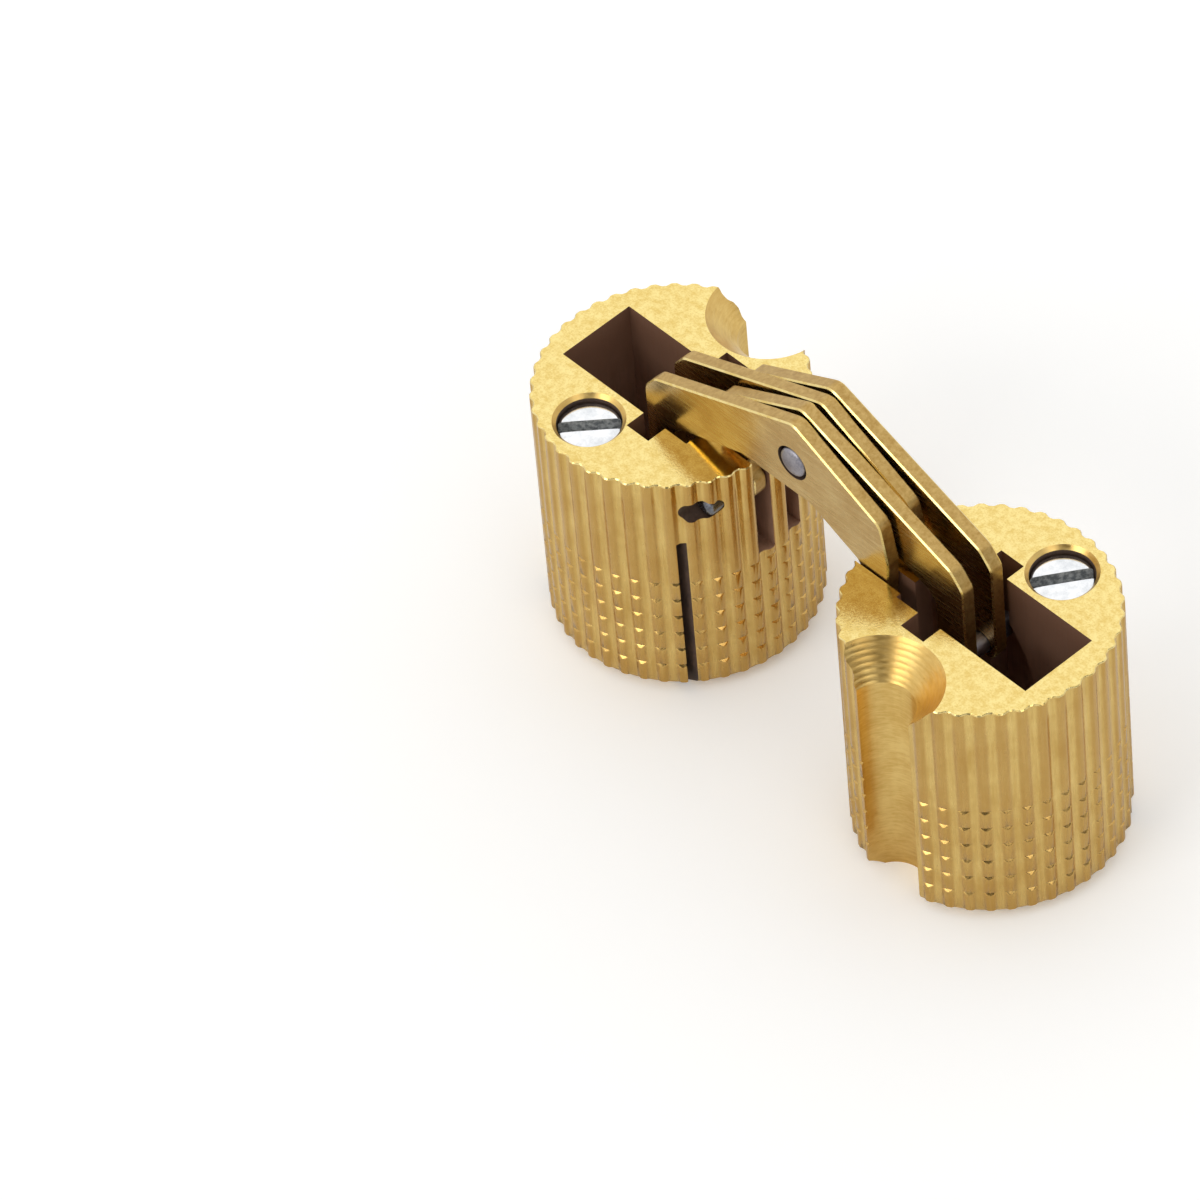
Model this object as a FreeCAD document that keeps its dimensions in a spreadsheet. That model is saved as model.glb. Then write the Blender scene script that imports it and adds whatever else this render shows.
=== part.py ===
import FreeCAD, Part
import math
import os
import Sketcher

# Concealed barrel hinge, opened flat: two knurled barrels stand side by side and four
# elbow plates carry one to the other. X runs from the left barrel to the right one,
# Z runs up from the bottom faces. The right half is the left half turned half round Z.

doc = FreeCAD.newDocument("barrel_hinge")
sheet = doc.addObject("Spreadsheet::Sheet", "Sizes")

sizes = [
    ("barrel_dia", 14.0),
    ("barrel_height", 14.9),
    ("axis_spacing", 21.8),
    ("foot_bevel_in", 0.9),
    ("foot_bevel_up", 0.7),
    ("flute_count", 42),
    ("flute_depth", 0.18),
    ("flute_width", 0.66),
    ("cavity_back", 5.4),
    ("cavity_front", 3.5),
    ("cavity_width", 4.5),
    ("groove_x", 1.22),
    ("groove_width", 1.55),
    ("groove_span", 6.8),
    ("bow_top", 3.2),
    ("bow_length", 9.6),
    ("bow_depth", 1.75),
    ("bow_span", 6.4),
    ("plate_thick", 0.8),
    ("plate_pitch", 0.975),
    ("slot_width", 0.98),
    ("slot_depth", 6.5),
    ("pivot_inset", 1.25),
    ("pivot_drop", 2.0),
    ("pivot_dia", 1.2),
    ("pivot_length", 6.6),
    ("rivet_rise", 3.75),
    ("rivet_dia", 1.7),
    ("rivet_proud", 0.1),
    ("guide_drop", 4.1035),
    ("guide_dia", 1.2),
    ("guide_length", 6.2),
    ("pin_play", 0.05),
    ("eye_radius", 1.05),
    ("hook_radius", 1.0),
    ("neck_half", 0.7),
    ("elbow_rise", 2.85),
    ("elbow_under", 2.1),
    ("corner_round", 0.8),
    ("crook_round", 0.5),
    ("screw_x", 1.18),
    ("screw_inset", 2.58),
    ("screw_dia", 3.2),
    ("screw_play", 0.05),
    ("screw_bevel", 0.25),
    ("screw_sunk", 0.4),
    ("screw_hole", 3.8),
    ("pilot_dia", 2.0),
    ("pilot_depth", 5.2),
    ("driver_width", 0.7),
    ("driver_depth", 0.9),
    ("slit_inset", 2.454),
    ("slit_width", 0.45),
    ("slit_top", 4.2),
    ("channel_inset", 0.25),
    ("channel_dia", 3.4),
    ("bowl_radius", 3.2),
    ("bowl_depth", 1.8),
]
for row, (alias, value) in enumerate(sizes, start=1):
    sheet.set("A%d" % row, alias)
    sheet.set("B%d" % row, str(value))
    sheet.setAlias("B%d" % row, alias)
doc.recompute()


def tied(text):
    # sheet names in an expression get the sheet in front of them
    words = text
    for alias, value in sorted(sizes, key=lambda pair: -len(pair[0])):
        words = words.replace(alias, "<<%s>>" % alias)
    return words.replace("<<", "Sizes.").replace(">>", "")


def plane(body, role):
    for feature in body.Origin.OriginFeatures:
        if feature.Role == role:
            return feature


def sketchOn(body, name, role):
    sketch = body.newObject("Sketcher::SketchObject", name)
    sketch.AttachmentSupport = [(plane(body, role), "")]
    sketch.MapMode = "FlatFace"
    return sketch


def pin(sketch, kind, item, point, text):
    start = sketch.getPoint(item, point)
    value = start.x if kind == "DistanceX" else start.y
    index = sketch.addConstraint(Sketcher.Constraint(kind, -1, 1, item, point, value))
    sketch.setExpression("Constraints[%d]" % index, tied(text))


def outline(body, name, role, corners):
    # a closed outline of straight edges, each corner tied to the sheet
    sketch = sketchOn(body, name, role)
    count = len(corners)
    ring = []
    for i in range(count):
        turn = 2 * math.pi * i / count
        ring.append(FreeCAD.Vector(10 * math.cos(turn), 10 * math.sin(turn), 0))
    for i in range(count):
        sketch.addGeometry(Part.LineSegment(ring[i], ring[(i + 1) % count]), False)
    for i in range(count):
        sketch.addConstraint(Sketcher.Constraint("Coincident", i, 2, (i + 1) % count, 1))
    for i, (along, up) in enumerate(corners):
        pin(sketch, "DistanceX", i, 1, along)
        pin(sketch, "DistanceY", i, 1, up)
    return sketch


def box(body, name, role, x0, x1, y0, y1):
    return outline(body, name, role, [(x0, y0), (x1, y0), (x1, y1), (x0, y1)])


def discs(body, name, role, rounds):
    # circles, each with its centre and radius tied to the sheet
    sketch = sketchOn(body, name, role)
    for i, (along, up, radius) in enumerate(rounds):
        centre = FreeCAD.Vector(20.0 * i + 5, 5, 0)
        sketch.addGeometry(Part.Circle(centre, FreeCAD.Vector(0, 0, 1), 1), False)
        pin(sketch, "DistanceX", i, 3, along)
        pin(sketch, "DistanceY", i, 3, up)
        index = sketch.addConstraint(Sketcher.Constraint("Radius", i, 1.0))
        sketch.setExpression("Constraints[%d]" % index, tied(radius))
    return sketch


def pad(body, name, sketch, length):
    feature = body.newObject("PartDesign::Pad", name)
    feature.Profile = sketch
    feature.SideType = "Symmetric"
    feature.setExpression("Length", tied(length))
    return feature


def cutThrough(body, name, sketch):
    feature = body.newObject("PartDesign::Pocket", name)
    feature.Profile = sketch
    feature.SideType = "Symmetric"
    feature.Type = "ThroughAll"
    return feature


def cut(body, name, sketch, length, symmetric=True):
    feature = body.newObject("PartDesign::Pocket", name)
    feature.Profile = sketch
    feature.SideType = "Symmetric" if symmetric else "One side"
    feature.setExpression("Length", tied(length))
    return feature


def turned(body, name, sketch):
    feature = body.newObject("PartDesign::Revolution", name)
    feature.Profile = sketch
    feature.ReferenceAxis = (sketch, ["V_Axis"])
    feature.Angle = 360
    return feature


def place(piece, x, y, z, halfTurn):
    # the right half of the hinge is the left half turned half round the middle axis
    sign = "-1*" if halfTurn else ""
    turn = FreeCAD.Rotation(FreeCAD.Vector(0, 0, 1), 180 if halfTurn else 0)
    piece.Placement = FreeCAD.Placement(FreeCAD.Vector(0, 0, 0), turn)
    piece.setExpression("Placement.Base.x", tied("%s(%s)" % (sign, x)))
    piece.setExpression("Placement.Base.y", tied("%s(%s)" % (sign, y)))
    piece.setExpression("Placement.Base.z", tied(z))


def barrel(label, halfTurn):
    body = doc.addObject("PartDesign::Body", label)
    body.Label = label

    # turned blank with a bevelled foot
    section = outline(body, label + "_section", "XZ_Plane", [
        ("0", "0"),
        ("barrel_dia/2-foot_bevel_in", "0"),
        ("barrel_dia/2", "foot_bevel_up"),
        ("barrel_dia/2", "barrel_height"),
        ("0", "barrel_height"),
    ])
    turned(body, label + "_blank", section)

    # straight knurl: one vee flute, then the ring of them
    flute = outline(body, label + "_vee", "XY_Plane", [
        ("barrel_dia/2-flute_depth", "0"),
        ("barrel_dia/2+flute_depth", "-flute_width"),
        ("barrel_dia/2+flute_depth", "flute_width"),
    ])
    flute.AttachmentOffset = FreeCAD.Placement(
        FreeCAD.Vector(0, 0, 0), FreeCAD.Rotation(FreeCAD.Vector(0, 0, 1), 2.3))
    flute.setExpression("AttachmentOffset.Rotation.Angle", tied("180/flute_count-1.974"))
    first = cutThrough(body, label + "_flute", flute)
    knurl = body.newObject("PartDesign::PolarPattern", label + "_knurl")
    knurl.Originals = [first]
    knurl.Axis = (plane(body, "Z_Axis"), [""])
    knurl.Angle = 360
    knurl.setExpression("Occurrences", tied("flute_count"))
    body.Tip = knurl

    # cavity for the folded plates, with the guide groove in both side walls
    cavity = box(body, label + "_window", "XY_Plane",
                 "-cavity_back", "cavity_front", "-cavity_width/2", "cavity_width/2")
    cutThrough(body, label + "_cavity", cavity)
    groove = box(body, label + "_notch", "XY_Plane",
                 "groove_x-groove_width/2", "groove_x+groove_width/2",
                 "-groove_span/2", "groove_span/2")
    cutThrough(body, label + "_groove", groove)

    # the groove bows out inside the walls, so that the guide pin clears them on its way
    bow = sketchOn(body, label + "_bow", "XZ_Plane")
    top = FreeCAD.Vector(1, 12, 0)
    low = FreeCAD.Vector(1, 2, 0)
    bow.addGeometry(Part.LineSegment(low, top), False)
    bow.addGeometry(Part.Arc(top, FreeCAD.Vector(-1, 7, 0), low), False)
    bow.addConstraint(Sketcher.Constraint("Coincident", 0, 2, 1, 1))
    bow.addConstraint(Sketcher.Constraint("Coincident", 0, 1, 1, 2))
    pin(bow, "DistanceX", 0, 1, "groove_x-groove_width/2+0.02")
    pin(bow, "DistanceY", 0, 1, "barrel_height-bow_top-bow_length")
    pin(bow, "DistanceX", 0, 2, "groove_x-groove_width/2+0.02")
    pin(bow, "DistanceY", 0, 2, "barrel_height-bow_top")
    size = bow.addConstraint(Sketcher.Constraint("Radius", 1, 13.0))
    bow.setExpression("Constraints[%d]" % size,
                      tied("(bow_length*bow_length/4+bow_depth*bow_depth)/(2*bow_depth)"))
    cut(body, label + "_clearance", bow, "bow_span")

    # saw slots in the facing wall for the two plates that pivot here
    for lane, middle in (("near", "-plate_pitch/2"), ("far", "plate_pitch*3/2")):
        kerf = outline(body, label + "_kerf_" + lane, "XY_Plane", [
            ("cavity_front-0.3", middle + "-slot_width/2"),
            ("barrel_dia", middle + "-slot_width/2"),
            ("barrel_dia", middle + "+slot_width/2"),
            ("cavity_front-0.3", middle + "+slot_width/2"),
        ])
        kerf.setExpression("AttachmentOffset.Base.z", tied("barrel_height"))
        cut(body, label + "_slot_" + lane, kerf, "slot_depth", False)

    # cross hole for the pivot pin
    cross = discs(body, label + "_cross", "XZ_Plane",
                  [("barrel_dia/2-pivot_inset", "barrel_height-pivot_drop", "pivot_dia/2+0.03")])
    cutThrough(body, label + "_pivot_hole", cross)

    # threaded hole and pilot for the expansion screw
    bore = discs(body, label + "_bore", "XY_Plane",
                 [("-screw_x", "screw_inset-barrel_dia/2", "screw_dia/2+screw_play")])
    bore.setExpression("AttachmentOffset.Base.z", tied("barrel_height"))
    cut(body, label + "_screw_hole", bore, "screw_hole", False)
    tip = discs(body, label + "_tip", "XY_Plane", [("-screw_x", "screw_inset-barrel_dia/2", "pilot_dia/2")])
    tip.setExpression("AttachmentOffset.Base.z", tied("barrel_height"))
    cut(body, label + "_pilot", tip, "pilot_depth", False)

    rim = body.newObject("PartDesign::SubtractiveCone", label + "_rim")
    rim.AttachmentSupport = [(plane(body, "XY_Plane"), "")]
    rim.MapMode = "FlatFace"
    rim.setExpression("AttachmentOffset.Base.x", tied("-screw_x"))
    rim.setExpression("AttachmentOffset.Base.y", tied("screw_inset-barrel_dia/2"))
    rim.setExpression("AttachmentOffset.Base.z", tied("barrel_height-screw_bevel"))
    rim.setExpression("Radius1", tied("screw_dia/2+screw_play"))
    rim.setExpression("Radius2", tied("screw_dia/2+screw_play+screw_bevel"))
    rim.setExpression("Height", tied("screw_bevel"))

    # expansion slit across the barrel, open at the foot
    kerf = box(body, label + "_chord", "YZ_Plane",
               "slit_inset-barrel_dia/2-slit_width/2", "slit_inset-barrel_dia/2+slit_width/2",
               "-barrel_height", "barrel_height-slit_top")
    cutThrough(body, label + "_slit", kerf)

    # half-round channel for the wood screw beside the barrel, with a bowl for its head
    channel = discs(body, label + "_side", "XY_Plane", [("0", "barrel_dia/2-channel_inset", "channel_dia/2")])
    cutThrough(body, label + "_channel", channel)
    bowl = body.newObject("PartDesign::SubtractiveCone", label + "_bowl")
    bowl.AttachmentSupport = [(plane(body, "XY_Plane"), "")]
    bowl.MapMode = "FlatFace"
    bowl.setExpression("AttachmentOffset.Base.y", tied("barrel_dia/2-channel_inset"))
    bowl.setExpression("AttachmentOffset.Base.z", tied("barrel_height-bowl_depth"))
    bowl.setExpression("Radius1", tied("channel_dia/2"))
    bowl.setExpression("Radius2", tied("bowl_radius"))
    bowl.setExpression("Height", tied("bowl_depth"))
    body.Tip = bowl
    place(body, "-axis_spacing/2", "0", "0", halfTurn)
    return body


def linkPlate(label, middle, halfTurn):
    # elbow plate drawn round its rivet: the hook slides, the eye at the other end pivots
    body = doc.addObject("PartDesign::Body", label)
    body.Label = label
    slide = "-(axis_spacing/2-groove_x)"
    swing = "(axis_spacing/2-barrel_dia/2+pivot_inset)"
    slideDown = "-(rivet_rise+guide_drop)"
    swingDown = "-(rivet_rise+pivot_drop)"
    arms = outline(body, label + "_arms", "XZ_Plane", [
        (slide + "-hook_radius", slideDown),
        (slide + "-hook_radius", "1.55-rivet_rise"),
        (slide + "-0.22", "2.52-rivet_rise"),
        ("0.2", "elbow_rise"),
        (swing + "+0.9", "3.6-rivet_rise"),
        (swing + "+eye_radius+0.3", "1.2-rivet_rise"),
        (swing + "+eye_radius", swingDown),
        (swing + "-neck_half", swingDown),
        (swing + "-neck_half", "-rivet_rise"),
        ("1.1", "-elbow_under"),
        ("-3.7", "-elbow_under"),
        (slide + "+hook_radius+0.53", "0.1-rivet_rise"),
        (slide + "+hook_radius", "-0.5-rivet_rise"),
        (slide + "+hook_radius", slideDown),
    ])
    pad(body, label + "_blank", arms, "plate_thick")
    ends = discs(body, label + "_ends", "XZ_Plane", [
        (swing, swingDown, "eye_radius"),
        (slide, slideDown, "hook_radius"),
    ])
    pad(body, label + "_round_ends", ends, "plate_thick")
    holes = discs(body, label + "_drill", "XZ_Plane", [
        (swing, swingDown, "pivot_dia/2+pin_play"),
        (slide, slideDown, "guide_dia/2+pin_play"),
        ("0", "0", "rivet_dia/2+pin_play"),
    ])
    body.Tip = cutThrough(body, label + "_holes", holes)
    doc.recompute()
    rounded(body, label + "_corners", (1, 2, 3, 4, 5), arms, "corner_round")
    rounded(body, label + "_crooks", (8, 9, 10, 11, 12), arms, "crook_round")
    place(body, "0", middle, "barrel_height+rivet_rise", halfTurn)
    return body


def rounded(body, name, corners, sketch, radius):
    # rounds the edges that stand on these corners of the outline
    spots = [sketch.getPoint(i, 1) for i in corners]
    names = []
    for i, edge in enumerate(body.Shape.Edges):
        ends = [v.Point for v in edge.Vertexes]
        if len(ends) == 2 and abs(ends[0].y - ends[1].y) > 0.5:
            if any(math.hypot(ends[0].x - s.x, ends[0].z - s.y) < 0.01 for s in spots):
                names.append("Edge%d" % (i + 1))
    cutout = body.Tip
    feature = body.newObject("PartDesign::Fillet", name)
    feature.Base = (cutout, names)
    feature.setExpression("Radius", tied(radius))
    body.Tip = feature
    doc.recompute()


def crossPin(label, dia, length, edge, x, z, halfTurn):
    # plain pin across the hinge with broken edges
    body = doc.addObject("PartDesign::Body", label)
    body.Label = label
    section = outline(body, label + "_section", "XY_Plane", [
        ("0", "-(%s)/2" % length),
        ("%s/2-%s" % (dia, edge), "-(%s)/2" % length),
        ("%s/2" % dia, "-(%s)/2+%s" % (length, edge)),
        ("%s/2" % dia, "(%s)/2-%s" % (length, edge)),
        ("%s/2-%s" % (dia, edge), "(%s)/2" % length),
        ("0", "(%s)/2" % length),
    ])
    body.Tip = turned(body, label + "_turned", section)
    place(body, x, "0", z, halfTurn)
    return body


def expansionScrew(label, halfTurn, slotTurn):
    # slotted set screw with a cone point that wedges the slit open
    body = doc.addObject("PartDesign::Body", label)
    body.Label = label
    section = outline(body, label + "_section", "XZ_Plane", [
        ("0", "-screw_sunk"),
        ("screw_dia/2-0.15", "-screw_sunk"),
        ("screw_dia/2", "-screw_sunk-0.15"),
        ("screw_dia/2", "-screw_hole+0.2"),
        ("pilot_dia/2-0.1", "-screw_hole+0.05"),
        ("pilot_dia/4", "-pilot_depth+0.2"),
        ("0", "-pilot_depth+0.2"),
    ])
    turned(body, label + "_turned", section)
    driver = box(body, label + "_driver", "XY_Plane",
                 "-screw_dia", "screw_dia", "-driver_width/2", "driver_width/2")
    driver.AttachmentOffset = FreeCAD.Placement(
        FreeCAD.Vector(0, 0, 0), FreeCAD.Rotation(FreeCAD.Vector(0, 0, 1), slotTurn))
    body.Tip = cut(body, label + "_slot", driver, "screw_sunk+driver_depth", False)
    place(body, "-axis_spacing/2-screw_x", "screw_inset-barrel_dia/2", "barrel_height", halfTurn)
    return body


pieces = [
    barrel("barrel_left", False),
    barrel("barrel_right", True),
    linkPlate("link_plate_1", "-plate_pitch*3/2", False),
    linkPlate("link_plate_2", "plate_pitch/2", True),
    linkPlate("link_plate_3", "plate_pitch/2", False),
    linkPlate("link_plate_4", "-plate_pitch*3/2", True),
    crossPin("centre_rivet", "rivet_dia", "plate_pitch*3+plate_thick+2*rivet_proud", "0.1",
             "0", "barrel_height+rivet_rise", False),
]
for side, halfTurn, slotTurn in (("left", False, 49), ("right", True, 56)):
    pieces.append(crossPin("pivot_pin_" + side, "pivot_dia", "pivot_length", "0.25",
                           "barrel_dia/2-pivot_inset-axis_spacing/2", "barrel_height-pivot_drop", halfTurn))
    pieces.append(crossPin("guide_pin_" + side, "guide_dia", "guide_length", "0.12",
                           "groove_x-axis_spacing/2", "barrel_height-guide_drop", halfTurn))
    pieces.append(expansionScrew("expansion_screw_" + side, halfTurn, slotTurn))
doc.recompute()

os.makedirs("parts", exist_ok=True)
for item in doc.Objects:
    if "Invalid" in item.State or "Error" in item.State:
        raise RuntimeError("%s did not build" % item.Name)
for piece in pieces:
    shape = piece.Shape
    if shape.isNull() or not shape.isValid():
        raise RuntimeError("%s has no valid shape" % piece.Label)
    print("%s volume %.2f solids %d" % (piece.Label, shape.Volume, len(shape.Solids)))
    shape.exportStep("parts/%s.step" % piece.Label)
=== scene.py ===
import bpy
import bmesh
import math
import numpy as np
from mathutils import Matrix, Vector, geometry


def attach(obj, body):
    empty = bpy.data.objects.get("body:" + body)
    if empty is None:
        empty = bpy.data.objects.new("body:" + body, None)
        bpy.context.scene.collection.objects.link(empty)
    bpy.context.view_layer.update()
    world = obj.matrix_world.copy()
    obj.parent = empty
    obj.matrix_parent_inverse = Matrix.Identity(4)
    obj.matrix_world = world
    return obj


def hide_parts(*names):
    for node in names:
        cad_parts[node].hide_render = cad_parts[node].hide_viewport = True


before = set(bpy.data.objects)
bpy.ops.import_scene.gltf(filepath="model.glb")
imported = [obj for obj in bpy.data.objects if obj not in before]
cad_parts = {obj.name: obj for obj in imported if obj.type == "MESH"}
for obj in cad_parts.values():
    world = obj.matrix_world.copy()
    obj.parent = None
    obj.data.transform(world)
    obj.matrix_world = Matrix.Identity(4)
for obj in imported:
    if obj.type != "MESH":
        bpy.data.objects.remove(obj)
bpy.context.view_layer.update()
mm = 0.001
axisX = 10.9  # millimetres from the middle to each barrel's axis
scene = bpy.context.scene
print("frame loaded:", len(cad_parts), "nodes")


def linear(hexText):
    # sRGB hex to linear RGBA: the usual two-part curve, on all three channels at once
    srgb = np.array([int(hexText[i:i + 2], 16) for i in (1, 3, 5)]) / 255.0
    flat = np.where(srgb <= 0.04045, srgb / 12.92, ((srgb + 0.055) / 1.055) ** 2.4)
    return (*flat.tolist(), 1.0)


def addNode(tree, kind, sockets=None, **settings):
    # one shader node with its settings; a socket takes a value or another node's output
    node = tree.nodes.new("ShaderNode" + kind)
    for key, value in settings.items():
        setattr(node, key, value)
    for key, value in (sockets or {}).items():
        if isinstance(value, bpy.types.NodeSocket):
            tree.links.new(value, node.inputs[key])
        else:
            node.inputs[key].default_value = value
    return node


def smoothShade(mesh, sharpDeg):
    # smooth shading with edges kept sharp past the angle
    mesh.polygons.foreach_set("use_smooth", np.ones(len(mesh.polygons), bool))
    mesh.set_sharp_from_angle(angle=math.radians(sharpDeg))
    mesh.update()


def meshObject(name, points, faces, materials, faceSlots=None, sharpDeg=40):
    # points in millimetres become a shaded object at the origin, its faces turned outwards
    mesh = bpy.data.meshes.new(name)
    mesh.from_pydata((np.asarray(points, float) * mm).tolist(), [], faces)
    for material in materials:
        mesh.materials.append(material)
    if faceSlots is not None:
        mesh.polygons.foreach_set("material_index", np.asarray(faceSlots, np.int32))
    work = bmesh.new()
    work.from_mesh(mesh)
    bmesh.ops.recalc_face_normals(work, faces=work.faces)
    work.to_mesh(mesh)
    work.free()
    smoothShade(mesh, sharpDeg)
    piece = bpy.data.objects.new(name, mesh)
    scene.collection.objects.link(piece)
    return piece


def ringQuads(start, count, columns):
    # quads between neighbouring closed rings of points, which are numbered from start
    here = np.arange(columns)
    after = (here + 1) % columns
    low = start + np.arange(count - 1)[:, None] * columns
    high = low + columns
    quads = np.stack([low + here, low + after, high + after, high + here], -1)
    return quads.reshape(-1, 4).tolist()


def capped(low, rings, high):
    # rings of points between two pole points: quads between the rings, a fan at each pole
    count, columns = rings.shape[:2]
    points = np.vstack([low[None], rings.reshape(-1, 3), high[None]])
    here = np.arange(columns)
    after = (here + 1) % columns
    last = 1 + (count - 1) * columns
    lowFan = np.stack([np.zeros(columns, int), 1 + after, 1 + here], -1)
    highFan = np.stack([np.full(columns, len(points) - 1), last + here, last + after], -1)
    return points, ringQuads(1, count, columns) + lowFan.tolist() + highFan.tolist()


def turned(profile, columns):
    # surface of revolution: (r cos a, r sin a, z) for each profile point and angle a;
    # the first and last profile points lie on the axis
    profile = np.asarray(profile, float)
    angle = np.linspace(0, 2 * np.pi, columns, endpoint=False)
    radius, height = profile[1:-1, :1], profile[1:-1, 1:]
    rings = np.stack([
        radius * np.cos(angle), radius * np.sin(angle), np.repeat(height, columns, 1)], -1)
    poles = np.array([[0, 0, profile[0, 1]], [0, 0, profile[-1, 1]]])
    return capped(poles[0], rings, poles[1])


def prism(outline, low, high):
    # a flat outline carried from low to high along the third axis
    outline = np.asarray(outline, float)
    count = len(outline)
    points = np.vstack([
        np.hstack([outline, np.full((count, 1), level)]) for level in (low, high)])
    ends = [np.arange(count)[::-1].tolist(), np.arange(count, 2 * count).tolist()]
    return points, ringQuads(0, 2, count) + ends


def boxOutline(x0, x1, y0, y1):
    return [(x0, y0), (x1, y0), (x1, y1), (x0, y1)]


def acrossY(shape):
    # lays a shape drawn in x, z with its third axis along -y
    points, faces = shape
    return np.stack([points[:, 0], -points[:, 2], points[:, 1]], -1), faces


def shifted(shape, by):
    points, faces = shape
    return points + by, faces


def roundedOutline(corners, samples=10):
    # corners are (x, z, radius): each becomes an arc tangent to its two edges,
    # start + turn about the arc's centre through the angle between the edges
    corners = np.asarray(corners, float)
    spot, radius = corners[:, :2], corners[:, 2:]
    into = spot - np.roll(spot, 1, 0)
    out = np.roll(spot, -1, 0) - spot
    into /= np.linalg.norm(into, axis=1, keepdims=True)
    out /= np.linalg.norm(out, axis=1, keepdims=True)
    cross = into[:, 0] * out[:, 1] - into[:, 1] * out[:, 0]
    turn = np.arctan2(cross, (into * out).sum(1))
    start = spot - into * radius * np.tan(np.abs(turn) / 2)[:, None]
    side = np.sign(turn)[:, None] * np.stack([-into[:, 1], into[:, 0]], -1)
    centre = start + side * radius
    spoke = start - centre
    angle = turn[:, None] * np.linspace(0, 1, samples)
    arcX = spoke[:, :1] * np.cos(angle) - spoke[:, 1:] * np.sin(angle)
    arcZ = spoke[:, :1] * np.sin(angle) + spoke[:, 1:] * np.cos(angle)
    return (centre[:, None] + np.stack([arcX, arcZ], -1)).reshape(-1, 2)


def cutFrom(piece, cutters, sharpDeg):
    # takes each cutter out of the piece and keeps the finished mesh
    for cutter in cutters:
        step = piece.modifiers.new("cut", "BOOLEAN")
        step.operation = "DIFFERENCE"
        step.solver = "MANIFOLD"
        step.object = cutter
    bpy.context.view_layer.update()
    ready = piece.evaluated_get(bpy.context.evaluated_depsgraph_get())
    done = bpy.data.meshes.new_from_object(ready)
    piece.modifiers.clear()
    old = piece.data
    piece.data = done
    done.name = old.name
    bpy.data.meshes.remove(old)
    for cutter in cutters:
        bpy.data.objects.remove(cutter)
    smoothShade(done, sharpDeg)
    return piece


def metalFinish(name, look):
    # metal with drifting tint, tool marks stretched along one axis, and marks that also
    # break up the gloss
    material = bpy.data.materials.new(name)
    material.use_nodes = True
    tree = material.node_tree
    tree.nodes.clear()
    place = addNode(tree, "TexCoord").outputs["Object"]
    drift = addNode(tree, "TexNoise", {
        "Vector": place, "Scale": 1 / (look["patchMm"] * mm), "Detail": 3.0, "Roughness": 0.6})
    marksAt = addNode(tree, "Mapping", {
        "Vector": place, "Scale": [1 / (size * mm) for size in look["markMm"]]})
    marks = addNode(tree, "TexNoise", {
        "Vector": marksAt.outputs["Vector"], "Scale": 1.0, "Detail": 4.0, "Roughness": 0.65})
    both = addNode(tree, "Math", {
        0: drift.outputs["Fac"], 1: marks.outputs["Fac"]}, operation="ADD")
    share = addNode(tree, "MapRange", {
        "Value": both.outputs[0], "From Min": look["tintFrom"], "From Max": look["tintTo"]})
    tint = addNode(tree, "Mix", {
        "Factor": share.outputs["Result"], "A": linear(look["dark"]), "B": linear(look["light"])},
        data_type="RGBA")
    colour = tint.outputs["Result"]
    if "toneAndShadeHex" in look:
        # a second tint that sets in with distance, from the barrel's own axis or up the barrel: on
        # the knurl, brown lands that are partly the metal's own tone and partly painted shade,
        # with the flutes and ring cuts left light as painted highlight dashes; in the pocket,
        # painted shade that is darkest towards the mouth
        absolute = addNode(tree, "VectorMath", {0: place}, operation="ABSOLUTE")
        fromAxis = addNode(tree, "VectorMath", {
            0: absolute.outputs["Vector"], 1: (axisX * mm, 0, 0)}, operation="SUBTRACT")
        level = addNode(tree, "VectorMath", {
            0: fromAxis.outputs["Vector"], 1: look["toneAndShadeAlong"]}, operation="MULTIPLY")
        reach = addNode(tree, "VectorMath", {0: level.outputs["Vector"]}, operation="LENGTH")
        shadeFrom, shadeTo = (size * mm for size in look["toneAndShadeMm"])
        shadeAmount = addNode(tree, "MapRange", {
            "Value": reach.outputs["Value"], "From Min": shadeFrom, "From Max": shadeTo,
            "To Max": look["toneAndShadeShare"]}, interpolation_type="SMOOTHSTEP")
        shadeTinted = addNode(tree, "Mix", {
            "Factor": shadeAmount.outputs["Result"], "A": colour, "B": linear(look["toneAndShadeHex"])},
            data_type="RGBA")
        colour = shadeTinted.outputs["Result"]
    noiseLow, noiseHigh = 0.3, 0.7
    smooth, rough = look["rough"]
    gloss = addNode(tree, "MapRange", {
        "Value": marks.outputs["Fac"], "From Min": noiseLow, "From Max": noiseHigh,
        "To Min": smooth, "To Max": rough})
    relief = addNode(tree, "Bump", {
        "Height": marks.outputs["Fac"], "Strength": look["strength"],
        "Distance": look["reliefMm"] * mm})
    metal = addNode(tree, "BsdfPrincipled", {
        "Base Color": colour, "Metallic": look.get("metallic", 1.0),
        "Roughness": gloss.outputs["Result"], "Normal": relief.outputs["Normal"]})
    addNode(tree, "OutputMaterial", {"Surface": metal.outputs["BSDF"]})
    return material


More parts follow.
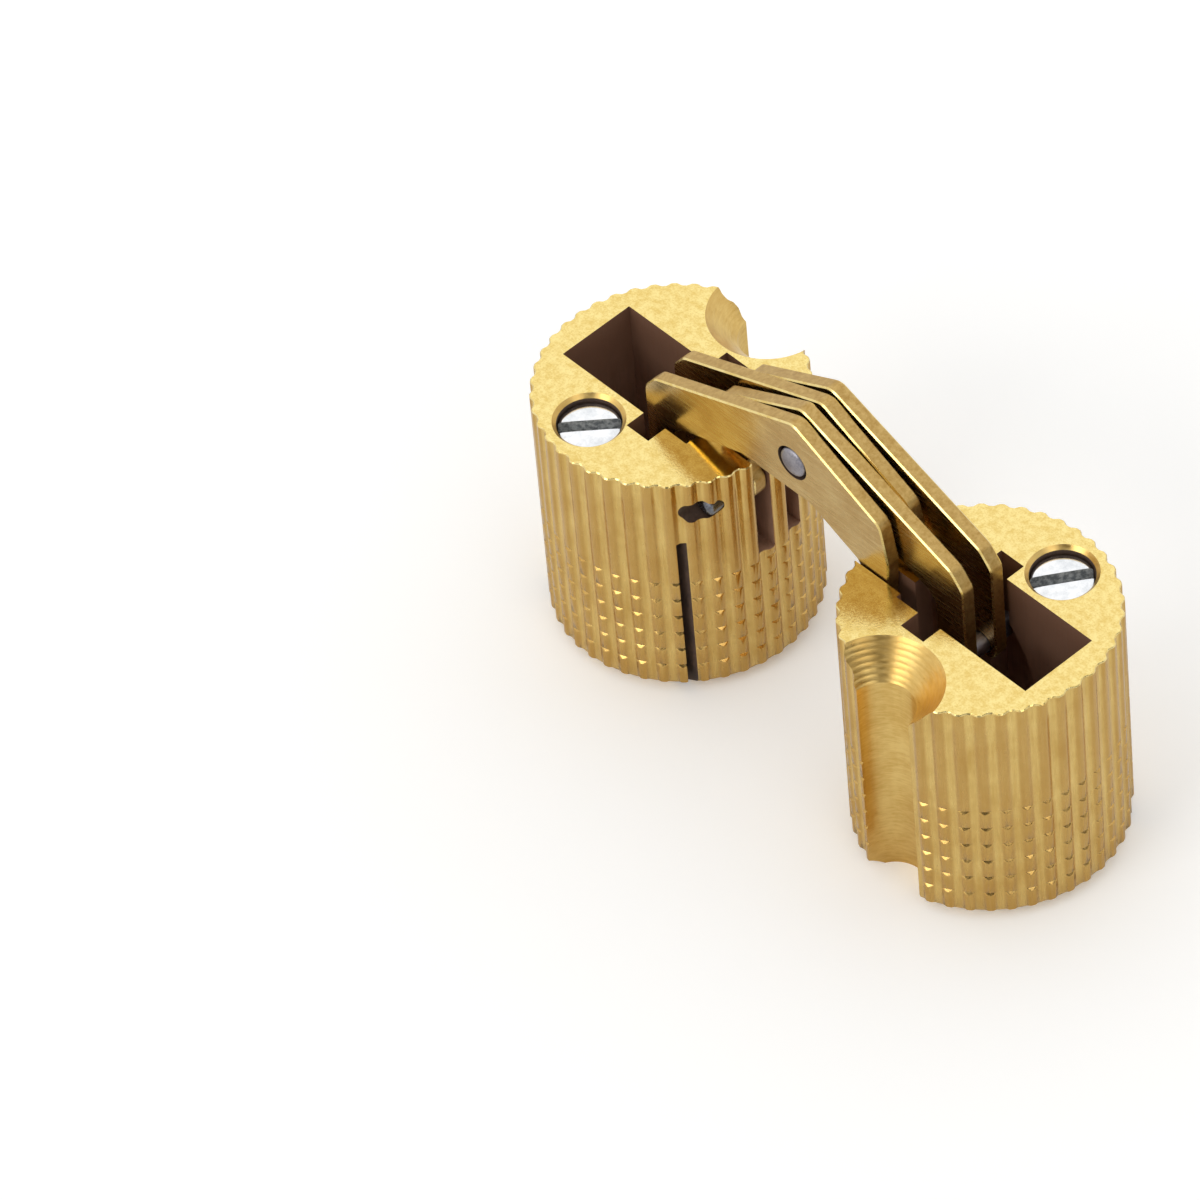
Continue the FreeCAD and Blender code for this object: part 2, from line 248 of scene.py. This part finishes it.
finishes = dict(
    # knurled free-cutting brass: soft gold flutes with drawn streaks; brown lands, partly the
    # metal's own tone and partly painted shade, with the ring cuts left light as painted highlight
    # dashes
    knurledBrass=dict(
        light="#E6C77C", dark="#CEA95F", patchMm=2.2, markMm=(0.22, 0.22, 2.4),
        tintFrom=0.75, tintTo=1.25, rough=(0.20, 0.32), strength=0.3, reliefMm=0.02,
        toneAndShadeHex="#B98E4C", toneAndShadeShare=0.6, toneAndShadeMm=(6.84, 6.95), toneAndShadeAlong=(1, 1, 0)),
    # faced end of the bar: bright yellow with a fine pitted grain, drawn coarse enough to show
    facedBrass=dict(
        light="#F1DC93", dark="#DEC06F", patchMm=0.4, markMm=(0.12, 0.12, 0.12),
        tintFrom=0.78, tintTo=1.18, rough=(0.09, 0.20), strength=0.3, reliefMm=0.02),
    # broached pocket: brass painted dark brown as painted shade, scored along the barrel, the
    # painted shade darkest at the mouth
    pocketShadeBrass=dict(
        light="#B28A72", dark="#99735C", patchMm=1.8, markMm=(0.2, 0.2, 3.0), metallic=0.1,
        tintFrom=0.8, tintTo=1.2, rough=(0.5, 0.65), strength=0.2, reliefMm=0.02,
        toneAndShadeHex="#84604B", toneAndShadeShare=1.0, toneAndShadeMm=(8.5, 14.0), toneAndShadeAlong=(0, 0, 1)),
    # sawn slit, screw and pin holes and the line round the rivet: brown nearly black, painted
    # shade
    holeShadeBrass=dict(
        light="#5A4436", dark="#3E2E26", patchMm=1.5, markMm=(0.2, 0.2, 0.2), metallic=0.1,
        tintFrom=0.8, tintTo=1.2, rough=(0.5, 0.65), strength=0.2, reliefMm=0.02),
    # milled channel, bored bowl and turned foot: clean gold with fine cutter lines
    milledBrass=dict(
        light="#E2C279", dark="#CFA95F", patchMm=2.0, markMm=(0.6, 0.6, 0.12),
        tintFrom=0.8, tintTo=1.2, rough=(0.27, 0.4), strength=0.25, reliefMm=0.012),
    # rolled brass strip: smooth satin faces with long faint rolling lines
    rolledBrass=dict(
        light="#D0B47A", dark="#BC9A5E", patchMm=2.4, markMm=(2.6, 0.3, 0.18),
        tintFrom=0.8, tintTo=1.2, rough=(0.20, 0.32), strength=0.2, reliefMm=0.012),
    # sheared strip edge: torn fine grain, drawn coarse enough to show
    shearedBrass=dict(
        light="#CDAE6E", dark="#AE8A4C", patchMm=0.3, markMm=(0.12, 0.2, 0.12),
        tintFrom=0.72, tintTo=1.28, rough=(0.32, 0.48), strength=0.4, reliefMm=0.025),
    # rolled-over corner of strip or rim: a thin bright line, partly real burnish and partly a
    # painted highlight in the lighter colour
    burnishedHighlightBrass=dict(
        light="#F2DE9C", dark="#E2C578", patchMm=1.2, markMm=(0.6, 0.2, 0.2),
        tintFrom=0.8, tintTo=1.2, rough=(0.22, 0.34), strength=0.15, reliefMm=0.01),
    # ground steel rivet and guide pins: soft grey with a faint bluish cast
    groundSteel=dict(
        light="#A9A6AC", dark="#827F87", patchMm=0.9, markMm=(0.12, 0.5, 0.12),
        tintFrom=0.8, tintTo=1.2, rough=(0.32, 0.46), strength=0.25, reliefMm=0.01),
    # drawn dark steel pivot pin: dark grey with a sharp glint
    drawnSteel=dict(
        light="#878A91", dark="#54565C", patchMm=0.8, markMm=(0.12, 1.2, 0.12),
        tintFrom=0.8, tintTo=1.2, rough=(0.18, 0.32), strength=0.2, reliefMm=0.01),
    # bright plated screw: near mirror, clouded a little by handling
    brightPlate=dict(
        light="#F0F1F2", dark="#D6D9DC", patchMm=1.6, markMm=(0.5, 0.5, 0.5),
        tintFrom=0.75, tintTo=1.1, rough=(0.05, 0.12), strength=0.06, reliefMm=0.01),
    # driver slot: plating worn grey, pitted
    wornSlot=dict(
        light="#D5D7D6", dark="#83878A", patchMm=0.3, markMm=(0.22, 0.22, 0.22), metallic=0.2,
        tintFrom=0.85, tintTo=1.15, rough=(0.36, 0.52), strength=0.45, reliefMm=0.025),
)
metals = {name: metalFinish(name, look) for name, look in finishes.items()}
print("metals made:", len(metals))


# past, clear and lap are how far a cutter overshoots: at the end faces, the wall, another cutter
barrelSizes = dict(
    radius=7.0, height=14.9, bevelIn=0.9, bevelUp=0.7, rim=0.06, sharpDeg=42,
    flutes=42, fluteDepth=0.18, fluteTurn=2.312, fluteFlank=0.12, fluteUneven=0.15,
    rings=6, ringTop=7.03, ringPitch=1.19, ringDepth=0.12, ringWidth=0.24, ringUneven=0.12,
    fluteSteps=16, bevelSteps=5, ringSteps=9, wallSteps=6, wallFrom=0.4, unevenSeed=5,
    past=1.0, clear=9.0, lap=0.02,
    cavityBack=5.4, cavityFront=3.5, cavityHalf=2.25,
    grooveX=1.22, grooveHalf=0.775, grooveReach=3.4,
    bowTop=3.2, bowLength=9.6, bowDepth=1.75, bowReach=3.2, bowSteps=25,
    slotHalf=0.49, slotDepth=6.5, slotLap=0.3, lanes=(-0.4875, 1.4625),
    pivotX=5.75, pivotDrop=2.0, pivotHole=0.63, pivotSides=40,
    screwX=-1.18, screwY=-4.42, screwHole=1.65, screwDeep=3.8, screwBevel=0.2, screwSides=64,
    pilot=1.0, pilotDeep=5.2,
    slitY=-4.546, slitHalf=0.225, slitTop=4.2,
    channelY=6.75, channel=1.7, channelSides=72,
    bowlRadius=3.2, bowlDepth=1.8, bowlSides=96, bowlSteps=57,
    rippleWide=0.24, rippleDeep=0.012, rippleShape=0.6, rippleFade=8,
)
barrelMetals = (
    "knurledBrass", "facedBrass", "pocketShadeBrass", "milledBrass", "burnishedHighlightBrass", "holeShadeBrass")


def barrelBlank(s):
    # closed knurled barrel: at angle a and height z the radius is the bar's radius less the
    # deeper of the flute's clipped cosine and the cross ring's vee (by height from the nearest
    # ring), and never more than the foot bevel allows; the rolls pressed each flute and each
    # ring crossing to a slightly different depth
    chance = np.random.default_rng(s["unevenSeed"])
    columns = s["flutes"] * s["fluteSteps"]
    angle = (np.arange(columns) + 0.5) / columns * 2 * np.pi
    turnsIn = s["flutes"] * (angle - math.radians(s["fluteTurn"])) / (2 * np.pi)
    flank = s["fluteFlank"]
    wave = np.clip((0.5 + 0.5 * np.cos(2 * np.pi * turnsIn) - flank) / (1 - 2 * flank), 0, 1)
    press = 1 - s["fluteUneven"] * chance.random(s["flutes"])
    flute = s["fluteDepth"] * wave * press[np.round(turnsIn).astype(int) % s["flutes"]]
    top = s["height"]
    ringAt = top - s["ringTop"] - s["ringPitch"] * np.arange(s["rings"])
    spread = np.linspace(-0.5, 0.5, s["ringSteps"]) * s["ringWidth"]
    heights = np.concatenate([
        np.linspace(0, s["bevelUp"], s["bevelSteps"]), (ringAt[:, None] + spread).ravel(),
        np.linspace(ringAt[0] + s["wallFrom"], top - s["rim"], s["wallSteps"])])
    heights = np.unique(np.round(heights, 4))
    gap = np.abs(heights[:, None] - ringAt)
    close = np.clip(1 - gap.min(1) / (s["ringWidth"] / 2), 0, 1)
    bite = 1 - s["ringUneven"] * chance.random((s["rings"], s["flutes"]))
    land = np.floor(turnsIn).astype(int) % s["flutes"]
    ring = s["ringDepth"] * close[:, None] * bite[gap.argmin(1)][:, land]
    bevel = s["radius"] - s["bevelIn"] * np.clip(1 - heights / s["bevelUp"], 0, 1)
    wall = np.minimum(s["radius"] - np.maximum(flute[None], ring), bevel[:, None])
    # each end face has a ring half-way in, and the top's rim is broken
    wall = np.vstack([wall[:1] / 2, wall, wall[-1:] - s["rim"], wall[-1:] / 2])
    heights = np.concatenate([[0], heights, [top, top]])
    rings = np.stack([
        wall * np.cos(angle), wall * np.sin(angle),
        np.repeat(heights[:, None], columns, 1)], -1)
    points, faces = capped(np.zeros(3), rings, np.array([0, 0, top]))
    # the top face takes the faced finish, its rim the burnished one lightened as a painted
    # highlight, the foot the milled one
    slotOf = barrelMetals.index
    slots = np.full((len(rings) - 1, columns), slotOf("knurledBrass"))
    slots[:s["bevelSteps"]] = slotOf("milledBrass")
    slots[-2] = slotOf("burnishedHighlightBrass")
    slots[-1] = slotOf("facedBrass")
    fans = np.repeat([slotOf("milledBrass"), slotOf("facedBrass")], columns)
    return points, faces, np.concatenate([slots.ravel(), fans])


def barrelCutters(s, finish):
    # everything that is milled, bored or sawn out of the bar, each with its own finish
    top, over, under, clear = s["height"], s["height"] + s["past"], -s["past"], s["clear"]
    front, back, half = s["cavityFront"], -s["cavityBack"], s["cavityHalf"]
    near, far = s["grooveX"] - s["grooveHalf"], s["grooveX"] + s["grooveHalf"]
    deep = s["grooveReach"]
    cavity = [
        (back, -half), (near, -half), (near, -deep), (far, -deep), (far, -half), (front, -half),
        (front, half), (far, half), (far, deep), (near, deep), (near, half), (back, half)]
    # the guide groove's bow: a circle's segment through both ends and the deepest point
    chord, sag = s["bowLength"] / 2, s["bowDepth"]
    bend = (chord ** 2 + sag ** 2) / (2 * sag)
    swing = np.linspace(-1, 1, s["bowSteps"]) * math.asin(chord / bend)
    bowX = near + s["lap"] - sag + bend * (1 - np.cos(swing))
    bowZ = top - s["bowTop"] - chord + bend * np.sin(swing)
    bow = np.stack([bowX, bowZ], -1)
    # bored bowl: straight flare from mouth to throat, with fine tool rings that fade in
    mouth, throat = s["bowlRadius"], s["channel"]
    fall = np.linspace(0, 1, s["bowlSteps"])
    wave = np.abs(np.sin(np.pi * fall * s["bowlDepth"] / s["rippleWide"]))
    ripple = s["rippleDeep"] * wave ** s["rippleShape"] * np.clip(fall * s["rippleFade"], 0, 1)
    bowlSide = np.stack([
        mouth - (mouth - throat) * fall - ripple, top - s["bowlDepth"] * fall], -1)
    bowl = np.vstack([[(0, over), (mouth, over)], bowlSide, [(0, top - s["bowlDepth"])]])
    hole, pilot = s["screwHole"], s["pilot"]
    sinkEnd = top - s["screwBevel"] - s["lap"]
    sink = [(0, over), (hole + s["screwBevel"], over), (hole + s["screwBevel"], top),
            (hole - s["lap"], sinkEnd), (0, sinkEnd)]
    screw = [(0, over), (hole, over), (hole, top - s["screwDeep"]), (pilot, top - s["screwDeep"]),
             (pilot, top - s["pilotDeep"]), (0, top - s["pilotDeep"])]
    pivot = [(0, -clear), (s["pivotHole"], -clear), (s["pivotHole"], clear), (0, clear)]
    channel = [(0, under), (throat, under), (throat, over), (0, over)]
    slit = boxOutline(-clear, clear, s["slitY"] - s["slitHalf"], s["slitY"] + s["slitHalf"])
    pivotAt = (s["pivotX"], 0, top - s["pivotDrop"])
    screwAt, channelAt = (s["screwX"], s["screwY"], 0), (0, s["channelY"], 0)
    # the pocket, its bow and the kerfs take brass painted dark brown as shade
    made = [
        (prism(cavity, under, over), "pocketShadeBrass"),
        (acrossY(prism(bow, -s["bowReach"], s["bowReach"])), "pocketShadeBrass")]
    for lane in s["lanes"]:
        kerf = boxOutline(front - s["slotLap"], clear, lane - s["slotHalf"], lane + s["slotHalf"])
        made.append((prism(kerf, top - s["slotDepth"], over), "pocketShadeBrass"))
    # the pivot and screw holes and the slit take the near-black painted shade
    made += [
        (shifted(acrossY(turned(pivot, s["pivotSides"])), pivotAt), "holeShadeBrass"),
        (shifted(turned(screw, s["screwSides"]), screwAt), "holeShadeBrass"),
        (shifted(turned(sink, s["screwSides"]), screwAt), "milledBrass"),
        (prism(slit, under, top - s["slitTop"]), "holeShadeBrass"),
        (shifted(turned(channel, s["channelSides"]), channelAt), "milledBrass"),
        (shifted(turned(bowl, s["bowlSides"]), channelAt), "milledBrass")]
    cutters = []
    for (points, faces), metal in made:
        slots = np.full(len(faces), barrelMetals.index(metal))
        cutters.append(meshObject("cutter", points - (axisX, 0, 0), faces, finish, slots))
    return cutters


barrelFinish = [metals[name] for name in barrelMetals]
points, faces, slots = barrelBlank(barrelSizes)
barrelLeft = meshObject(
    "knurledBarrelLeft", points - (axisX, 0, 0), faces, barrelFinish, slots)
cutFrom(barrelLeft, barrelCutters(barrelSizes, barrelFinish), barrelSizes["sharpDeg"])
barrelRight = bpy.data.objects.new("knurledBarrelRight", barrelLeft.data.copy())
barrelRight.data.transform(Matrix.Rotation(math.pi, 4, "Z"))
scene.collection.objects.link(barrelRight)
for piece, side in ((barrelLeft, "left"), (barrelRight, "right")):
    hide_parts("barrel_" + side)
    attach(piece, side + "_barrel")
print("barrels made:", len(barrelLeft.data.polygons), "faces each")


# places are measured from the rivet; slide is the hooked end, swing the end with the eye
plateSizes = dict(
    thick=0.8, pitch=0.975, edge=0.08, holeEdge=0.02, holeSides=40, sharpDeg=34,
    rivetZ=18.65, pinHole=0.65, rivetHole=0.97,
    slideX=-9.68, slideZ=-7.8535, hook=1.0, notchDown=0.5, notchX=0.53, notchUp=0.1,
    swingX=5.15, swingZ=-5.75, eye=1.05, eyeUp=0.5, neck=0.7, neckUp=0.95,
    rise=3.75, under=2.1, underLeft=-3.7, underRight=1.1,
    heelX=0.3, heelUp=1.2, backX=0.9, backUp=3.6, peakX=0.2, top=2.848,
    tailX=0.22, tailUp=2.52, cheekUp=1.55,
    innerRound=0.5, outerRound=0.8, neckRound=0.4, eyeRound=0.3, tipShare=0.98,
)
plateMetals = ("rolledBrass", "shearedBrass", "burnishedHighlightBrass", "holeShadeBrass")


def plateOutline(s):
    # the elbow blank seen from the near side, round its rivet, each corner with its radius
    slide, slideDown, hook = s["slideX"], s["slideZ"], s["hook"]
    swing, swingDown, eye = s["swingX"], s["swingZ"], s["eye"]
    rise, inner, outer = s["rise"], s["innerRound"], s["outerRound"]
    return roundedOutline([
        (slide - hook, slideDown - hook, hook * s["tipShare"]),
        (slide + hook, slideDown - hook, hook * s["tipShare"]),
        (slide + hook, -s["notchDown"] - rise, inner),
        (slide + hook + s["notchX"], s["notchUp"] - rise, inner),
        (s["underLeft"], -s["under"], inner),
        (s["underRight"], -s["under"], inner),
        (swing - s["neck"], -rise, inner),
        (swing - s["neck"], swingDown + s["neckUp"], s["neckRound"]),
        (swing - eye, swingDown + s["eyeUp"], s["eyeRound"]),
        (swing - eye, swingDown - eye, eye * s["tipShare"]),
        (swing + eye, swingDown - eye, eye * s["tipShare"]),
        (swing + eye + s["heelX"], s["heelUp"] - rise, outer),
        (swing + s["backX"], s["backUp"] - rise, outer),
        (s["peakX"], s["top"], outer),
        (slide - s["tailX"], s["tailUp"] - rise, outer),
        (slide - hook, s["cheekUp"] - rise, outer),
    ])


def plateLoops(s):
    # the outline and then the three holes, each as the loop of its wall and that of its face
    # edge: the outline pulled in by the broken edge, a hole opened by its own
    outline = plateOutline(s)
    along = np.roll(outline, -1, 0) - np.roll(outline, 1, 0)
    along /= np.linalg.norm(along, axis=1, keepdims=True)
    inward = np.stack([-along[:, 1], along[:, 0]], -1)
    loops = [(outline, outline + inward * s["edge"])]
    spin = np.linspace(0, 2 * np.pi, s["holeSides"], endpoint=False)
    circle = np.stack([np.cos(spin), np.sin(spin)], -1)
    for x, z, radius in (
            (s["swingX"], s["swingZ"], s["pinHole"]), (s["slideX"], s["slideZ"], s["pinHole"]),
            (0, 0, s["rivetHole"])):
        loops.append((circle * radius + (x, z), circle * (radius + s["holeEdge"]) + (x, z)))
    return loops


def platePiece(name, s, middle, turnedHalf):
    # four rings of points carry each loop from the near face to the far one
    half, inset = s["thick"] / 2, s["thick"] / 2 - s["edge"]
    slotOf = plateMetals.index
    points, faces, slots, rims, rimEdges, loopOf = [], [], [], [], [], []
    start = rimStart = 0
    for order, (wall, rim) in enumerate(plateLoops(s)):
        count = len(wall)
        layers = ((rim, -half), (wall, -inset), (wall, inset), (rim, half))
        for loop, level in layers:
            points.append(np.stack([loop[:, 0], np.full(count, level), loop[:, 1]], -1))
        faces += ringQuads(start, len(layers), count)
        # the holes' walls and broken edges take the near-black painted shade
        bands = ["holeShadeBrass"] * 3
        if order == 0:
            # the sheared outline runs between two burnished lines lightened as painted highlights
            bands = ["burnishedHighlightBrass", "shearedBrass", "burnishedHighlightBrass"]
        slots += np.repeat([slotOf(band) for band in bands], count).tolist()
        here = np.arange(count)
        nearRim, farRim = start + here, start + len(bands) * count + here
        rims.append(np.stack([rim[:, 0], rim[:, 1], nearRim, farRim], -1))
        rimEdges.append(rimStart + np.stack([here, (here + 1) % count], -1))
        loopOf.append(np.full(count, order))
        start += len(layers) * count
        rimStart += count
    # one face's triangles, between the outline and the holes, serve both faces; one with all
    # its corners on a single hole's rim would close that hole, so it goes
    flat = np.vstack(rims)
    meshFaces, slack = 4, 1e-7
    mapped = geometry.delaunay_2d_cdt(
        [Vector(spot) for spot in flat[:, :2].tolist()], np.vstack(rimEdges).tolist(), [],
        meshFaces, slack)
    source = np.array([ids[0] for ids in mapped[3]])
    caps = source[np.array(mapped[2])]
    ring = np.concatenate(loopOf)[caps]
    caps = caps[(ring[:, 0] == 0) | (ring != ring[:, :1]).any(1)]
    faces += flat[caps, 2].astype(int).tolist() + flat[caps, 3].astype(int).tolist()
    slots += [slotOf("rolledBrass")] * (2 * len(caps))
    points = np.vstack(points) + (0, middle, s["rivetZ"])
    if turnedHalf:
        points = points * (-1, -1, 1)
    finish = [metals[metal] for metal in plateMetals]
    return meshObject(name, points, faces, finish, slots, s["sharpDeg"])


for number, middle, turnedHalf, body in (
        (1, -1.5, False, "sliding_links"), (2, 0.5, True, "pivoting_links"),
        (3, 0.5, False, "sliding_links"), (4, -1.5, True, "pivoting_links")):
    plate = platePiece(
        "linkPlate%d" % number, plateSizes, middle * plateSizes["pitch"], turnedHalf)
    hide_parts("link_plate_%d" % number)
    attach(plate, body)
print("link plates made")


# at is (x, z) at the left; dome is how far in and down the end's middle point lies, as shares
pinSizes = dict(
    rivet=dict(radius=0.85, half=1.9625, edge=0.24, dish=0.03, at=(0, 18.65)),
    pivot=dict(radius=0.6, half=3.42, edge=0.25, dish=0.05, at=(-5.15, 12.9)),
    guide=dict(radius=0.6, half=3.1, edge=0.14, dish=0.05, at=(-9.68, 10.7965)),
    dome=(0.5, 0.3), edgeSteps=7, sides=48,
)


def crossPin(name, kind, sign, metal):
    # a pin along y, turned from its outline: a shallow dome, a rounded shoulder, the shank
    s = pinSizes[kind]
    x, z = s["at"]
    domeIn, domeDown = pinSizes["dome"]
    arc = np.linspace(0, np.pi / 2, pinSizes["edgeSteps"])
    shoulder = np.stack([
        s["radius"] - s["edge"] + s["edge"] * np.sin(arc),
        s["half"] - s["edge"] + s["edge"] * np.cos(arc) - s["dish"]], -1)
    dome = [(0, s["half"]), (s["radius"] * domeIn, s["half"] - s["dish"] * domeDown)]
    upper = np.vstack([dome, shoulder])
    profile = np.vstack([upper * (1, -1), upper[::-1]])
    shape = shifted(acrossY(turned(profile, pinSizes["sides"])), (sign * x, 0, z))
    return meshObject(name, *shape, [metals[metal]])


rivet = crossPin("centreRivet", "rivet", 1, "groundSteel")
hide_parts("centre_rivet")
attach(rivet, "pivoting_links")
for side, sign, guideBody in (("left", 1, "sliding_links"), ("right", -1, "pivoting_links")):
    pivot = crossPin("pivotPin" + side.title(), "pivot", sign, "drawnSteel")
    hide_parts("pivot_pin_" + side)
    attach(pivot, side + "_barrel")
    guide = crossPin("guidePin" + side.title(), "guide", sign, "groundSteel")
    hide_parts("guide_pin_" + side)
    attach(guide, guideBody)

# crown and bevel shape the head: a flat middle, a slight fall, then the bevel in two steps
screwSizes = dict(
    radius=1.6, sunk=0.4, crownShare=0.6, crownFall=0.02, bevel=0.18, bevelIn=0.3, bevelDown=0.35,
    shoulder=3.6, neck=0.9, neckAt=3.75, tip=0.5, tipAt=5.0, sides=72, sharpDeg=30,
    slotHalf=0.35, slotDeep=0.9, slotReach=3.0, slotTurn=dict(left=49.0, right=56.0),
)


def expansionScrew(side, s, b):
    # turned set screw with a cone point, its driver slot sawn across
    radius, bevel = s["radius"], s["bevel"]
    face = b["height"] - s["sunk"]
    profile = [
        (0, face), (radius * s["crownShare"], face), (radius - bevel, face - s["crownFall"]),
        (radius - bevel * s["bevelIn"], face - bevel * s["bevelDown"]), (radius, face - bevel),
        (radius, b["height"] - s["shoulder"]), (s["neck"], b["height"] - s["neckAt"]),
        (s["tip"], b["height"] - s["tipAt"]), (0, b["height"] - s["tipAt"])]
    points, faces = turned(profile, s["sides"])
    slotPoints, slotFaces = prism(
        boxOutline(-s["slotReach"], s["slotReach"], -s["slotHalf"], s["slotHalf"]),
        face - s["slotDeep"], b["height"] + b["past"])
    turn = math.radians(s["slotTurn"][side])
    spin = np.array([
        [math.cos(turn), math.sin(turn), 0], [-math.sin(turn), math.cos(turn), 0], [0, 0, 1]])
    at = np.array([b["screwX"] - axisX, b["screwY"], 0])
    flip = (1, 1, 1) if side == "left" else (-1, -1, 1)
    finish = [metals["brightPlate"], metals["wornSlot"]]
    screw = meshObject(
        "expansionScrew" + side.title(), (points + at) * flip, faces, finish,
        np.zeros(len(faces)), s["sharpDeg"])
    saw = meshObject(
        "cutter", (slotPoints @ spin + at) * flip, slotFaces, finish, np.ones(len(slotFaces)))
    return cutFrom(screw, [saw], s["sharpDeg"])


for side in ("left", "right"):
    screw = expansionScrew(side, screwSizes, barrelSizes)
    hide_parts("expansion_screw_" + side)
    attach(screw, side + "_barrel")
print("pins, rivet and screws made")


stageSizes = dict(
    floorHex="#F9F9F8", floorHalf=3.0, floorLift=0.17, paperRough=0.9, worldLevel=0.86,
    lampAim=(0, 0, 0.01),
    softboxes=[
        # name, place in metres, width, height, radiance over the white surround
        ("overhead", (-0.30, 0.28, 0.62), 0.70, 0.55, 0.13),
        ("front", (-0.04, -0.68, 0.50), 0.46, 0.24, 2.8),
        ("right", (0.66, -0.14, 0.58), 0.34, 0.16, 1.7),
    ],
    # dark cards behind and beside the lens, which the facets turned that way mirror
    cardHex="#2E2C2A", cardAway=680.0,
    cards=[
        # name, azimuth and elevation in degrees, half width and half height in millimetres
        ("lensCard", -56.5, 41.0, 180.0, 190.0),
        ("lowCard", -4.0, 25.0, 490.0, 110.0),
    ],
)
squareCorners = np.array([(-1, -1), (1, -1), (1, 1), (-1, 1)])

# matte white paper, lifted a little for the lens alone so that it reads as white
floorPaint = bpy.data.materials.new("mattePaper")
floorPaint.use_nodes = True
floorTree = floorPaint.node_tree
floorTree.nodes.clear()
floorSeen = addNode(floorTree, "LightPath").outputs["Is Camera Ray"]
floorGlow = addNode(floorTree, "Math", {
    0: floorSeen, 1: stageSizes["floorLift"]}, operation="MULTIPLY")
floorShader = addNode(floorTree, "BsdfPrincipled", {
    "Base Color": linear(stageSizes["floorHex"]), "Roughness": stageSizes["paperRough"],
    "Emission Color": (1, 1, 1, 1), "Emission Strength": floorGlow.outputs[0]})
addNode(floorTree, "OutputMaterial", {"Surface": floorShader.outputs["BSDF"]})
floorPoints = np.hstack([squareCorners * (stageSizes["floorHalf"] / mm), np.zeros((4, 1))])
floor = meshObject("floor", floorPoints, [[0, 1, 2, 3]], [floorPaint])

# white surround, a little weaker where it only lights
world = bpy.data.worlds.new("studio")
scene.world = world
world.use_nodes = True
worldTree = world.node_tree
worldTree.nodes.clear()
path = addNode(worldTree, "LightPath")
straight = addNode(worldTree, "Math", {
    0: path.outputs["Is Camera Ray"], 1: path.outputs["Is Transmission Ray"]},
    operation="MAXIMUM")
seen = addNode(worldTree, "Math", {
    0: straight.outputs[0], 1: path.outputs["Is Glossy Ray"]}, operation="MAXIMUM")
worldLevel = addNode(worldTree, "MapRange", {
    "Value": seen.outputs[0], "To Min": stageSizes["worldLevel"], "To Max": 1.0})
sky = addNode(worldTree, "Background", {
    "Color": (1, 1, 1, 1), "Strength": worldLevel.outputs["Result"]})
addNode(worldTree, "OutputWorld", {"Surface": sky.outputs["Background"]})

for name, place, width, height, radiance in stageSizes["softboxes"]:
    lamp = bpy.data.lights.new(name, "AREA")
    lamp.shape = "RECTANGLE"
    lamp.size, lamp.size_y = width, height
    # an area lamp's radiance is its power over four times its area
    lamp.energy = radiance * 4 * width * height
    box = bpy.data.objects.new(name, lamp)
    box.location = place
    towards = Vector(stageSizes["lampAim"]) - Vector(place)
    box.rotation_euler = towards.to_track_quat("-Z", "Y").to_euler()
    scene.collection.objects.link(box)

# black paper
cardPaint = bpy.data.materials.new("blackPaper")
cardPaint.use_nodes = True
cardShader = cardPaint.node_tree.nodes["Principled BSDF"]
cardShader.inputs["Base Color"].default_value = linear(stageSizes["cardHex"])
cardShader.inputs["Roughness"].default_value = stageSizes["paperRough"]
for name, azimuth, elevation, halfWide, halfHigh in stageSizes["cards"]:
    heading, lift = math.radians(azimuth), math.radians(elevation)
    way = np.array([
        math.cos(heading) * math.cos(lift), math.sin(heading) * math.cos(lift), math.sin(lift)])
    wide = np.array([-math.sin(heading), math.cos(heading), 0])
    spread = squareCorners * (halfWide, halfHigh) @ np.stack([wide, np.cross(way, wide)])
    card = meshObject(
        name, way * stageSizes["cardAway"] + spread, [[0, 1, 2, 3]], [cardPaint])
    card.visible_camera = False

# angles in degrees, distance and aim in millimetres, focus, size and seenAt in pixels
cameraSizes = dict(
    azimuth=49.28, elevation=47.45, roll=4.31, distance=546.8, aim=(0, 0, 6.5),
    focus=11083.0, size=1200, seenAt=(832.5, 611.4), sensor=36.0, clip=(0.01, 20.0),
)


def photoCamera(s):
    # turns by azimuth, elevation and roll about the aim point, then looks aside so that the
    # aim point falls on its pixel of the square picture
    a, e, r = (math.radians(s[k]) for k in ("azimuth", "elevation", "roll"))
    ahead = Vector((-math.sin(a) * math.cos(e), math.cos(a) * math.cos(e), -math.sin(e)))
    level = Vector((math.cos(a), math.sin(a), 0))
    above = level.cross(ahead)
    right = math.cos(r) * level - math.sin(r) * above
    up = math.sin(r) * level + math.cos(r) * above
    eye = Vector(s["aim"]) - s["distance"] * ahead
    offX, offY = (seenAt - s["size"] / 2 for seenAt in s["seenAt"])
    look = (ahead * s["focus"] - right * offX + up * offY).normalized()
    side = look.cross(up).normalized()
    rise = side.cross(look)
    lens = bpy.data.cameras.new("camera")
    lens.sensor_width = s["sensor"]
    lens.lens = s["sensor"] * s["focus"] / s["size"]
    lens.clip_start, lens.clip_end = s["clip"]
    camera = bpy.data.objects.new("camera", lens)
    turn = Matrix((side, rise, -look)).transposed().to_4x4()
    camera.matrix_world = Matrix.Translation(eye * mm) @ turn
    scene.collection.objects.link(camera)
    return camera


scene.camera = photoCamera(cameraSizes)
scene.view_settings.view_transform = "Standard"
print("stage made")
